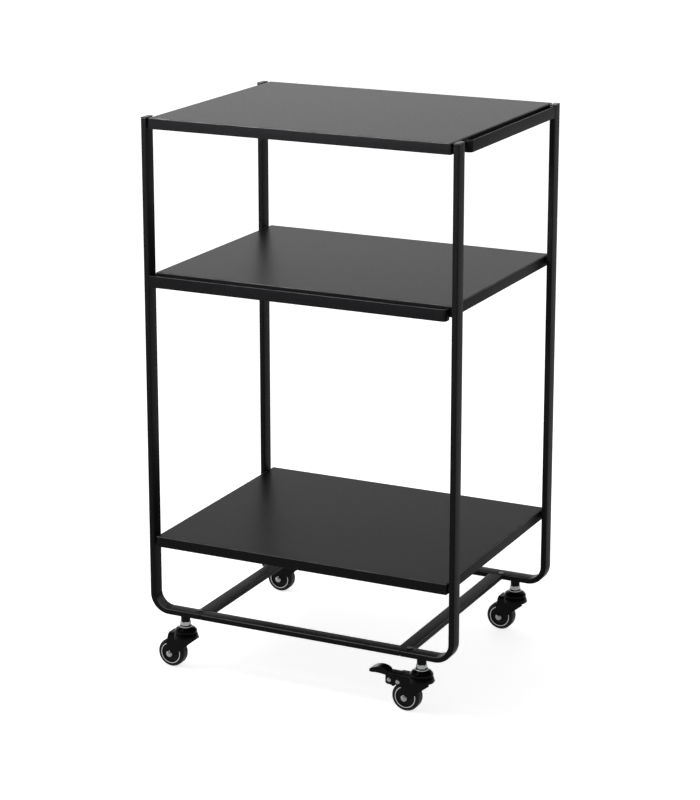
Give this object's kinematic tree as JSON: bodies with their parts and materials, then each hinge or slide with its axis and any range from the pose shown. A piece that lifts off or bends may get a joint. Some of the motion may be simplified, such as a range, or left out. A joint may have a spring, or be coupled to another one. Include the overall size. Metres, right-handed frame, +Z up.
{
  "type": "rolling shelf cart",
  "caption": "Rolling shelf cart: sheet-steel tray shelves in a slim flat-tube frame with bent feet, hanging bars at one side and the front, and swivel casters, some with a brake pedal.",
  "frame": {"origin": "on the floor, under the middle of the cart's whole box, whose left end is the rear left brake pedal's tip", "axes": "+Z up, -Y is the front, +X is the side that has the hanging bar at the top shelf"},
  "size_m": [0.4866, 0.365, 0.7752],
  "materials": {
    "black_powder_coat": "fine matte powder coat",
    "black_lacquer": "glossy black electrocoat",
    "black_oxide": "blackened steel, satin",
    "black_plastic": "moulded, satin",
    "zinc_plate": "bright zinc plate, satin",
    "bright_chrome": "polished",
    "rim_metal": "turned, satin",
    "wheel_rubber": "smooth hard rubber"
  },
  "bodies": {
    "cart": {"post_front_left": "black_powder_coat", "post_front_right": "black_powder_coat", "post_rear_left": "black_powder_coat", "post_rear_right": "black_powder_coat", "rail_front": "black_powder_coat", "rail_rear": "black_powder_coat", "crossbar_left": "black_powder_coat", "crossbar_right": "black_powder_coat", "rail_plugs": "black_oxide", "rail_screws": "black_oxide", "post_caps": "black_plastic", "shelf_top": "black_powder_coat", "shelf_middle": "black_powder_coat", "shelf_bottom": "black_powder_coat", "shelf_screws": "zinc_plate", "shelf_spacers": "black_oxide", "shelf_nuts": "zinc_plate", "side_bar": "black_powder_coat", "front_bar": "black_powder_coat", "stem_sleeves": "black_powder_coat", "stem_nuts": "bright_chrome", "stem_washers": "bright_chrome", "upper_races": "black_lacquer", "stem_front_left": "zinc_plate", "stem_front_right": "zinc_plate", "stem_rear_left": "zinc_plate", "stem_rear_right": "zinc_plate"},
    "caster_front_left": {"fork_front_left": "black_lacquer", "axle_front_left": "zinc_plate", "race_balls_front_left": "bright_chrome"},
    "wheel_front_left": {"hub_front_left": "black_plastic", "rim_front_left": "rim_metal", "tread_front_left": "wheel_rubber"},
    "caster_front_right": {"fork_front_right": "black_lacquer", "axle_front_right": "zinc_plate", "race_balls_front_right": "bright_chrome", "brake_bracket_front_right": "black_lacquer", "brake_pins_front_right": "zinc_plate"},
    "wheel_front_right": {"hub_front_right": "black_plastic", "rim_front_right": "rim_metal", "tread_front_right": "wheel_rubber"},
    "pedal_front_right": {"brake_pedal_front_right": "black_lacquer"},
    "caster_rear_left": {"fork_rear_left": "black_lacquer", "axle_rear_left": "zinc_plate", "race_balls_rear_left": "bright_chrome", "brake_bracket_rear_left": "black_lacquer", "brake_pins_rear_left": "zinc_plate"},
    "wheel_rear_left": {"hub_rear_left": "black_plastic", "rim_rear_left": "rim_metal", "tread_rear_left": "wheel_rubber"},
    "pedal_rear_left": {"brake_pedal_rear_left": "black_lacquer"},
    "caster_rear_right": {"fork_rear_right": "black_lacquer", "axle_rear_right": "zinc_plate", "race_balls_rear_right": "bright_chrome"},
    "wheel_rear_right": {"hub_rear_right": "black_plastic", "rim_rear_right": "rim_metal", "tread_rear_right": "wheel_rubber"}
  },
  "joints": [
    {"name": "swivel_front_left", "type": "hinge", "parent": "cart", "child": "caster_front_left", "pos_m": [-0.1667, -0.165, 0.0515], "axis": [0, 0, 1], "continuous": true},
    {"name": "roll_front_left", "type": "hinge", "parent": "caster_front_left", "child": "wheel_front_left", "pos_m": [-0.1872, -0.165, 0.02], "axis": [0, 1, 0], "continuous": true},
    {"name": "swivel_front_right", "type": "hinge", "parent": "cart", "child": "caster_front_right", "pos_m": [0.1933, -0.165, 0.0515], "axis": [0, 0, 1], "continuous": true},
    {"name": "roll_front_right", "type": "hinge", "parent": "caster_front_right", "child": "wheel_front_right", "pos_m": [0.1728, -0.165, 0.02], "axis": [0, 1, 0], "continuous": true},
    {"name": "brake_front_right", "type": "hinge", "parent": "caster_front_right", "child": "pedal_front_right", "pos_m": [0.1498, -0.165, 0.0415], "axis": [0, -1, 0], "range_deg": [0, 22]},
    {"name": "swivel_rear_left", "type": "hinge", "parent": "cart", "child": "caster_rear_left", "pos_m": [-0.1667, 0.165, 0.0515], "axis": [0, 0, 1], "continuous": true},
    {"name": "roll_rear_left", "type": "hinge", "parent": "caster_rear_left", "child": "wheel_rear_left", "pos_m": [-0.1872, 0.165, 0.02], "axis": [0, 1, 0], "continuous": true},
    {"name": "brake_rear_left", "type": "hinge", "parent": "caster_rear_left", "child": "pedal_rear_left", "pos_m": [-0.2102, 0.165, 0.0415], "axis": [0, -1, 0], "range_deg": [0, 22]},
    {"name": "swivel_rear_right", "type": "hinge", "parent": "cart", "child": "caster_rear_right", "pos_m": [0.1933, 0.165, 0.0515], "axis": [0, 0, 1], "continuous": true},
    {"name": "roll_rear_right", "type": "hinge", "parent": "caster_rear_right", "child": "wheel_rear_right", "pos_m": [0.1728, 0.165, 0.02], "axis": [0, 1, 0], "continuous": true}
  ]
}
